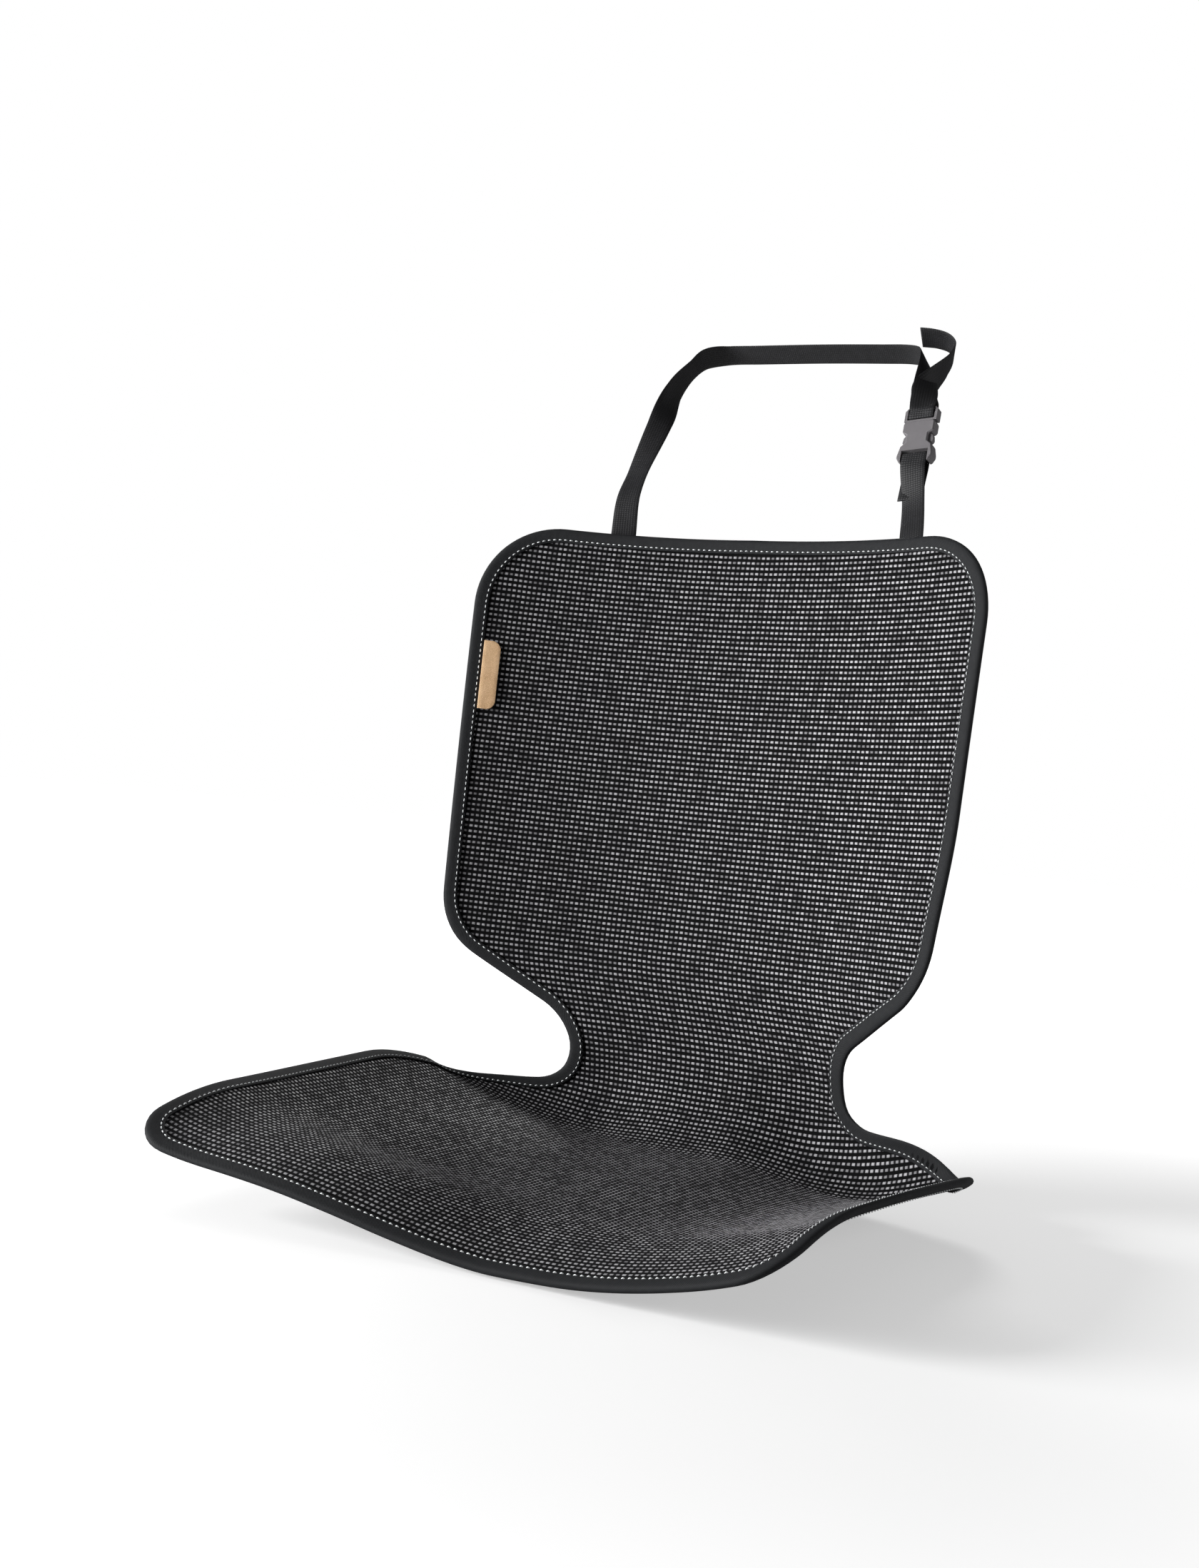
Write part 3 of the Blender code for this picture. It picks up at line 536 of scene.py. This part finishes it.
def make_thread():
    """Bonded nylon thread: pale, with the twist of its plies too fine to show."""
    material, tree, shader = new_material("bonded_nylon_thread")
    geometry = add_node(tree, "ShaderNodeNewGeometry")
    noise = add_node(tree, "ShaderNodeTexNoise", inputs={
        "Vector": geometry.outputs["Position"], "Scale": 1 / THREAD_FLECK, "Detail": 2.0})
    shade = add_node(tree, "ShaderNodeValToRGB", inputs={0: noise})
    set_stops(shade.color_ramp, ((0.0, "#c4c8ca"), (1.0, "#f0f2f2")))
    fill_inputs(tree, shader, {"Base Color": shade, "Roughness": 0.45})
    return material


def make_webbing():
    """Polypropylene webbing, satin: flat yarns across and along."""
    material, tree, shader = new_material("polypropylene_webbing")
    place, along, across = flat_places(tree)
    weft = bead_wave(tree, along, WEFT_PITCH)
    weft = add_node(tree, "ShaderNodeMath", MULTIPLY_ADD, {0: weft, 1: 0.7, 2: 0.3})
    warp = bead_wave(tree, across, WARP_PITCH)
    warp = add_node(tree, "ShaderNodeMath", MULTIPLY_ADD, {0: warp, 1: 0.6, 2: 0.4})
    mixed = add_node(tree, "ShaderNodeMath", MULTIPLY, {0: weft, 1: warp})
    noise = add_node(tree, "ShaderNodeTexNoise", FLAT, {
        "Vector": place, "Scale": 1 / WEB_CLOUD, "Detail": 4.0})
    yarns = add_node(tree, "ShaderNodeMath", MULTIPLY, {0: mixed, 1: 0.65})
    tone = add_node(tree, "ShaderNodeMath", MULTIPLY_ADD, {0: noise, 1: 0.35, 2: yarns})
    shade = add_node(tree, "ShaderNodeValToRGB", inputs={0: tone})
    set_stops(shade.color_ramp, ((0.15, "#0e0e0f"), (0.85, "#222225")))
    bump = add_node(tree, "ShaderNodeBump", inputs={"Height": mixed, "Strength": 0.7, "Distance": 0.0003})
    fill_inputs(tree, shader, {
        "Base Color": shade, "Roughness": 0.6, "Specular IOR Level": 0.3, "Normal": bump})
    return material


def make_leather():
    """Tan leather, satin: pebbled grain, with painted shade darkening its creases."""
    material, tree, shader = new_material("tan_leather")
    place = add_node(tree, "ShaderNodeTexCoord").outputs["Object"]
    grain = add_node(tree, "ShaderNodeTexVoronoi", {"feature": "DISTANCE_TO_EDGE"}, {
        "Vector": place, "Scale": 1 / LEATHER_PEBBLE})
    cloud = add_node(tree, "ShaderNodeTexNoise", inputs={
        "Vector": place, "Scale": 1 / LEATHER_CLOUD, "Detail": 5.0})
    clouds = add_node(tree, "ShaderNodeMath", MULTIPLY, {0: cloud, 1: 0.8})
    # The grain darkens the colour towards the pebbles' edges: painted shade in the creases.
    tone = add_node(tree, "ShaderNodeMath", MULTIPLY_ADD, {0: grain, 1: 1.2, 2: clouds})
    shade = add_node(tree, "ShaderNodeValToRGB", inputs={0: tone})
    set_stops(shade.color_ramp, ((0.25, "#c79c70"), (0.75, "#f0cba0")))
    bump = add_node(tree, "ShaderNodeBump", inputs={"Height": grain, "Strength": 0.4, "Distance": 0.0002})
    fill_inputs(tree, shader, {"Base Color": shade, "Roughness": 0.5, "Normal": bump})
    return material


def make_acetal():
    """Moulded acetal: an even satin grey with a faint grain."""
    material, tree, shader = new_material("moulded_acetal")
    place = add_node(tree, "ShaderNodeTexCoord").outputs["Object"]
    grain = add_node(tree, "ShaderNodeTexNoise", inputs={
        "Vector": place, "Scale": 1 / ACETAL_GRAIN, "Detail": 2.0})
    cloud = add_node(tree, "ShaderNodeTexNoise", inputs={
        "Vector": place, "Scale": 1 / ACETAL_CLOUD, "Detail": 3.0})
    shade = add_node(tree, "ShaderNodeValToRGB", inputs={0: cloud})
    set_stops(shade.color_ramp, ((0.0, "#636063"), (1.0, "#727072")))
    bump = add_node(tree, "ShaderNodeBump", inputs={"Height": grain, "Strength": 0.25, "Distance": 0.0001})
    fill_inputs(tree, shader, {"Base Color": shade, "Roughness": 0.42, "Normal": bump})
    return material


def build_sheet(material):
    """The woven sheet: a rib for every row of the weave, flat under the tape."""
    half = half_outline()[:-1]
    row_step = ROW_PITCH / ROW_STEPS
    low = SEAT_FRONT_V + SHEET_INSET
    high = BACK_CORNER_V + EDGE_CROWN - SHEET_INSET
    v = np.arange(np.ceil(low / row_step), np.floor(high / row_step) + 1) * row_step
    reach = np.interp(v, half[::-1, 1], half[::-1, 0]) - SHEET_INSET
    fractions = np.linspace(-1.0, 1.0, SHEET_COLUMNS)
    u = reach[:, None] * fractions[None, :]
    v = np.broadcast_to(v[:, None], u.shape)
    past_tape = distance_to_edge(u, v, whole_outline()) - TAPE_LIP + FACE_OVERLAP
    inside = smooth_step(past_tape / FACE_RUN)
    rib = 0.5 + 0.5 * np.cos(2 * pi * v / ROW_PITCH)
    w = FACE_HEIGHT + inside * (ROW_HEIGHT * rib + FACE_LIFT)
    mesh = grid_mesh("woven_sheet", drape(u, v, w), (u, v))
    item = new_piece("woven_sheet", mesh, material, "mat_panel")
    thickness = item.modifiers.new("thickness", "SOLIDIFY")
    thickness.thickness = CLOTH
    thickness.offset = -1.0
    return item


def build_tape(material):
    """Tape folded round the edge: a soft fold outside and thin lips on both faces."""
    outline, along = resampled(whole_outline(), TAPE_STEP, closed=True)
    inward = inward_directions(outline)
    upper = TAPE_OUTSIDE
    lower = tuple((inset, -height) for inset, height in reversed(TAPE_OUTSIDE))
    inset, height = TAPE_INSIDE
    profile = np.array(upper + lower + ((inset, -height), (inset, height)))
    places = outline[:, None, :] + inward[:, None, :] * profile[None, :, :1]
    w = np.broadcast_to(profile[None, :, 1], places.shape[:2])
    around = np.concatenate(([0.0], np.cumsum(np.linalg.norm(np.diff(profile, axis=0), axis=1))))
    around = np.append(around, around[-1] + TAPE_HIDDEN)
    total = along[-1] + (along[1] - along[0])
    grid_along = np.append(along, total)[:, None] + 0 * around[None, :]
    grid_around = around[None, :] + 0 * grid_along
    points = drape(places[..., 0], places[..., 1], w)
    mesh = grid_mesh("binding_tape", points, (grid_along, grid_around), wrap_rows=True, wrap_columns=True)
    mesh.flip_normals()
    return new_piece("binding_tape", mesh, material, "edge_binding")


def stitch_faces(base):
    """Quads round a stitch and a cap at each end, for corners that start at base."""
    faces = []
    for ring in range(base, base + (STITCH_POINTS - 1) * STITCH_SIDES, STITCH_SIDES):
        for corner in range(STITCH_SIDES):
            following = (corner + 1) % STITCH_SIDES
            faces.append((ring + corner, ring + following,
                          ring + STITCH_SIDES + following, ring + STITCH_SIDES + corner))
    last = base + (STITCH_POINTS - 1) * STITCH_SIDES
    faces.append(tuple(base + corner for corner in reversed(range(STITCH_SIDES))))
    faces.append(tuple(last + corner for corner in range(STITCH_SIDES)))
    return faces


def build_stitches(material):
    """Lockstitch through the tape, a short arched stitch at each pitch on both faces."""
    outline = resampled(whole_outline(), STITCH_LINE_STEP, closed=True)[0]
    line = outline + inward_directions(outline) * STITCH_INSET
    closed = np.vstack((line, line[:1]))
    lengths = np.concatenate(([0.0], np.cumsum(np.linalg.norm(np.diff(closed, axis=0), axis=1))))
    count = round(lengths[-1] / STITCH_PITCH)
    starts = np.arange(count) * lengths[-1] / count
    steps = np.linspace(0.0, 1.0, STITCH_POINTS)
    height = STITCH_HEIGHT + THREAD * STITCH_ARCH * np.sin(pi * steps)
    bulge = np.sin(pi * np.clip(steps, STITCH_BLUNT, 1.0 - STITCH_BLUNT))
    girth = STITCH_TAPER + (1.0 - STITCH_TAPER) * bulge
    angles = 2 * pi * np.arange(STITCH_SIDES) / STITCH_SIDES
    vertices = []
    faces = []
    for face_side in (1.0, -1.0):
        for start in starts:
            run = (start + steps * STITCH_LENGTH) % lengths[-1]
            u = np.interp(run, lengths, closed[:, 0])
            v = np.interp(run, lengths, closed[:, 1])
            middle = drape(u, v, face_side * height)
            up = drape(u, v, face_side * (height + THREAD)) - middle
            up /= np.linalg.norm(up, axis=1)[:, None]
            ahead = np.gradient(middle, axis=0)
            ahead /= np.linalg.norm(ahead, axis=1)[:, None]
            side = np.cross(ahead, up)
            faces += stitch_faces(len(vertices))
            for point, out, lift, share in zip(middle, side, up, girth):
                vertices += [point + THREAD / 2 * share * (cos(angle) * out + sin(angle) * lift)
                             for angle in angles]
    mesh = bpy.data.meshes.new("binding_stitches")
    mesh.from_pydata([tuple(place) for place in vertices], [], faces)
    return new_piece("binding_stitches", mesh, material, None)


def build_tag(material):
    """D-shaped leather tag with eased edges, caught in the seam."""
    inner = -BACK_WIDTH / 2 + TAPE_LIP + GAP
    far = inner + TAG_WIDTH
    low_v = TAG_V - TAG_LENGTH / 2
    high_v = TAG_V + TAG_LENGTH / 2
    path = rounded_path([
        (inner, low_v, 0.0), (far, low_v, TAG_RADIUS), (far, high_v, TAG_RADIUS), (inner, high_v, 0.0)])
    cuts = [((0, low_v + TAG_LENGTH * step / TAG_ROWS, 0), (0, 1, 0)) for step in range(1, TAG_ROWS)]
    cuts += [((inner + TAG_WIDTH * step / TAG_COLUMNS, 0, 0), (1, 0, 0)) for step in range(1, TAG_COLUMNS)]
    bm = bmesh.new()
    bm.faces.new([bm.verts.new((p.x, p.y, 0.0)) for p in path])
    for place, normal in cuts:
        geometry = bm.verts[:] + bm.edges[:] + bm.faces[:]
        bmesh.ops.bisect_plane(bm, geom=geometry, plane_co=place, plane_no=normal)
    grown = bmesh.ops.extrude_face_region(bm, geom=bm.faces[:])
    for part in grown["geom"]:
        if isinstance(part, bmesh.types.BMVert):
            part.co.z = TAG_THICKNESS
    bmesh.ops.recalc_face_normals(bm, faces=bm.faces[:])
    under = SHEET / 2 + TAPE_CLEARANCE + GAP
    slant = (BACK_WIDTH - BACK_LOWER_WIDTH) / 2 / (BACK_CORNER_V - BACK_LOWER_V)
    for vert in bm.verts:
        u = vert.co.x + slant * (BACK_CORNER_V - vert.co.y)
        vert.co = drape(u, vert.co.y, under + vert.co.z).tolist()
    mesh = bpy.data.meshes.new("leather_tag")
    bm.to_mesh(mesh)
    bm.free()
    item = new_piece("leather_tag", mesh, material, "side_tag")
    bevel = item.modifiers.new("eased_edge", "BEVEL")
    bevel.width = TAG_EASED_EDGE
    bevel.segments = 3
    bevel.limit_method = "ANGLE"
    bevel.angle_limit = radians(50)
    return item


def spline_rows(stations, steps=8):
    """Points and width directions along a strap, smooth through its stations."""
    keys = [(Vector(place), Vector(width)) for place, width in stations]
    rows = []
    for index in range(len(keys) - 1):
        for part in range(steps):
            t = part / steps
            rows.append(tuple(spline_at([key[kind] for key in keys], index, t) for kind in (0, 1)))
    rows.append(keys[-1])
    return rows


def spline_at(values, index, t):
    first = values[max(index - 1, 0)]
    start = values[index]
    end = values[index + 1]
    last = values[min(index + 2, len(values) - 1)]
    span = (end - start).length or 1.0
    slope_in = (end - first) / ((start - first).length + span) * span
    slope_out = (last - start) / ((last - end).length + span) * span
    cube = t * t * t
    square = t * t
    return (start * (2 * cube - 3 * square + 1) + slope_in * (cube - 2 * square + t)
            + end * (3 * square - 2 * cube) + slope_out * (cube - square))


def build_strap(name, stations, material, node):
    """Woven strap: a flat section with rounded selvedges, swept along its track."""
    rows = spline_rows(stations)
    half = WEB_WIDTH / 2
    thick = WEB / 2
    flat = half - WEB_SELVEDGE
    rim = half - WEB_RIM
    thin = thick * WEB_RIM_SHARE
    section = [(-flat, thick), (-half / 2, thick), (0.0, thick), (half / 2, thick), (flat, thick),
               (rim, thin), (half, 0.0), (rim, -thin)]
    section += [(-across, -height) for across, height in section]
    points = []
    along = [0.0]
    for index, (point, width) in enumerate(rows):
        before = rows[max(index - 1, 0)][0]
        after = rows[min(index + 1, len(rows) - 1)][0]
        run = (after - before).normalized()
        side = (width - run * width.dot(run)).normalized()
        face = side.cross(run)
        points.append([tuple(point + side * a + face * b) for a, b in section])
        if index:
            along.append(along[-1] + (point - before).length)
    points = np.array(points)
    around = np.array([a for a, b in section] + [section[0][0]])
    grid_along = np.array(along)[:, None] + 0 * around[None, :]
    grid_across = around[None, :] + 0 * grid_along
    mesh = grid_mesh(name, points, (grid_along, grid_across), wrap_columns=True)
    bm = bmesh.new()
    bm.from_mesh(mesh)
    bmesh.ops.holes_fill(bm, edges=[edge for edge in bm.edges if edge.is_boundary])
    bmesh.ops.recalc_face_normals(bm, faces=bm.faces[:])
    bm.to_mesh(mesh)
    bm.free()
    return new_piece(name, mesh, material, node)


def turned(angle_degrees):
    """Width direction of the loop's webbing, from level (0) to leaning (90)."""
    angle = radians(angle_degrees)
    return Vector((cos(angle), 0.0, 0.0)) + LOOP_LEAN * sin(angle)


def loop_stations(points):
    """Places and width directions of the webbing, off the middle of the top edge."""
    return [(TOP_MIDDLE + Vector((x, y, z)), turned(angle)) for x, y, z, angle in points]


def sewn_stations(u):
    """Strap end behind the top edge of the sheet, from its lower end up to the edge."""
    depth = -(SHEET / 2 + TAPE_CLEARANCE + TAPE + 2 * GAP + WEB / 2)
    edge_v = BACK_CORNER_V + EDGE_CROWN * (1.0 - abs(u) / (BACK_WIDTH / 2))
    across = drape(u + WEB_WIDTH / 2, edge_v, 0.0) - drape(u - WEB_WIDTH / 2, edge_v, 0.0)
    level = Vector(across.tolist()).normalized()
    return [(Vector(drape(u, edge_v - SEWN_LENGTH * part, depth).tolist()), level)
            for part in (1.0, 0.5, 0.0)]


def buckle_matrix():
    across = Vector((1.0, 0.0, 0.0))
    across = (across - BUCKLE_UP * across.dot(BUCKLE_UP)).normalized()
    back = BUCKLE_UP.cross(across)
    across = across * cos(BUCKLE_TURN) - back * sin(BUCKLE_TURN)
    back = BUCKLE_UP.cross(across)
    matrix = Matrix((across, back, BUCKLE_UP)).transposed().to_4x4()
    matrix.translation = TOP_MIDDLE + BUCKLE_PLACE
    return matrix


def buckle_stations(points):
    """The same for places in the buckle's own frame."""
    matrix = buckle_matrix()
    across = matrix.to_3x3() @ Vector((1.0, 0.0, 0.0))
    return [(matrix @ Vector((0.0, y, z)), across) for y, z in points]


def round_bar(edge_z, far_z, side):
    """Track of the webbing down the front of a bar, round its edge and back behind it, as y and z."""
    reach = BAR_DEPTH / 2 + 2 * BUCKLE_CLEAR + WEB / 2
    beyond = side * (WEB / 2 + BAR_SPARE)
    turn_y = reach * BAR_CORNER
    turn_z = edge_z + beyond * BAR_CORNER
    return [(-reach, far_z), (-reach, edge_z), (-turn_y, turn_z), (0.0, edge_z + beyond),
            (turn_y, turn_z), (reach, edge_z), (reach, far_z)]


def main_strap_stations():
    wrap = round_bar(LATCH_BAR_LOW_Z, FRAME_HIGH_Z - LATCH_WRAP_END, -1)
    return (sewn_stations(LEFT_STRAP_PLACE) + loop_stations(LOOP_LEFT) + loop_stations(LOOP_BACK)
            + loop_stations(LOOP_RIGHT) + buckle_stations(wrap) + loop_stations(TAIL))


def buckle_strap_stations():
    wrap = round_bar(SLOT_LOW_Z, SOCKET_LOW_Z - SOCKET_WRAP_END, 1)
    end_y = wrap[-1][0]
    ending = [(end_y - RETURN_STEP, SOCKET_LOW_Z - FOLD_BACK / 2),
              (end_y - 2 * RETURN_STEP, SOCKET_LOW_Z - FOLD_BACK)]
    return sewn_stations(RIGHT_STRAP_PLACE) + loop_stations(SHORT_STRAP_BEND) + buckle_stations(wrap + ending)


def dress_buckle(material):
    for name in ("buckle_socket", "buckle_latch"):
        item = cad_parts[name]
        for slot in item.material_slots:
            slot.material = material


def build_camera():
    camera = bpy.data.cameras.new("camera")
    camera.lens = CAMERA_LENS
    camera.sensor_width = 36.0
    camera.clip_start = 0.01
    camera.clip_end = 60.0
    item = bpy.data.objects.new("camera", camera)
    turn = (Matrix.Rotation(radians(CAMERA_YAW), 4, "Z") @ Matrix.Rotation(radians(90 - CAMERA_DIP), 4, "X")
            @ Matrix.Rotation(radians(CAMERA_ROLL), 4, "Z"))
    item.matrix_world = Matrix.Translation(CAMERA_PLACE) @ turn
    bpy.context.scene.collection.objects.link(item)
    bpy.context.scene.camera = item


def build_stage():
    """A pale floor that reads as white where no shadow falls."""
    bm = bmesh.new()
    bmesh.ops.create_grid(bm, x_segments=1, y_segments=1, size=STAGE_SIZE / 2)
    mesh = bpy.data.meshes.new("floor")
    bm.to_mesh(mesh)
    bm.free()
    floor = bpy.data.objects.new("floor", mesh)
    floor.location = (0.0, 0.0, CAD_BOX[0][2] - FLOOR_GAP)
    bpy.context.scene.collection.objects.link(floor)
    material, tree, shader = new_material("pale_floor")
    fill_inputs(tree, shader, {"Base Color": linear("#e6e6e6"), "Roughness": 0.9, "Specular IOR Level": 0.0})
    place = add_node(tree, "ShaderNodeTexCoord").outputs["Object"]
    away = add_node(tree, "ShaderNodeVectorMath", {"operation": "LENGTH"}, {0: place}).outputs["Value"]
    further = add_node(tree, "ShaderNodeMapRange", SMOOTH, {
        "Value": away, "From Min": GLOW_START, "From Max": GLOW_END})
    level = add_node(tree, "ShaderNodeMath", MULTIPLY_ADD, {0: further, 1: GLOW_RISE, 2: GLOW_NEAR})
    seen = add_node(tree, "ShaderNodeLightPath").outputs["Is Camera Ray"]
    shown = add_node(tree, "ShaderNodeMath", MULTIPLY, {0: seen, 1: level})
    glow = add_node(tree, "ShaderNodeEmission", inputs={"Color": linear("#ffffff"), "Strength": shown})
    both = add_node(tree, "ShaderNodeAddShader", inputs={0: shader, 1: glow})
    fill_inputs(tree, tree.nodes["Material Output"], {"Surface": both})
    mesh.materials.append(material)


def build_world():
    """White behind the mat for the camera, and a low even light for all else."""
    world = bpy.data.worlds.new("studio")
    bpy.context.scene.world = world
    world.use_nodes = True
    tree = world.node_tree
    seen = add_node(tree, "ShaderNodeLightPath").outputs["Is Camera Ray"]
    strength = add_node(tree, "ShaderNodeMath", MULTIPLY_ADD, {0: seen, 1: 1.0 - WORLD_LEVEL, 2: WORLD_LEVEL})
    fill_inputs(tree, tree.nodes["Background"], {"Color": linear("#ffffff"), "Strength": strength})


def add_lamp(name, place, target, size, power):
    lamp = bpy.data.lights.new(name, "AREA")
    lamp.shape = "DISK"
    lamp.size = size
    lamp.energy = power
    item = bpy.data.objects.new(name, lamp)
    item.location = place
    item.rotation_euler = (Vector(target) - Vector(place)).to_track_quat("-Z", "Y").to_euler()
    bpy.context.scene.collection.objects.link(item)


bpy.context.scene.view_settings.view_transform = "Standard"
build_camera()
build_stage()
build_world()
for lamp_name, settings in LAMPS.items():
    add_lamp(lamp_name, *settings)
sheet = build_sheet(make_weave())
tape = build_tape(make_tape())
stitches = build_stitches(make_thread())
tag = build_tag(make_leather())
webbing = make_webbing()
build_strap("loop_webbing", main_strap_stations(), webbing, "main_strap")
build_strap("buckle_webbing", buckle_strap_stations(), webbing, "buckle_strap")
dress_buckle(make_acetal())
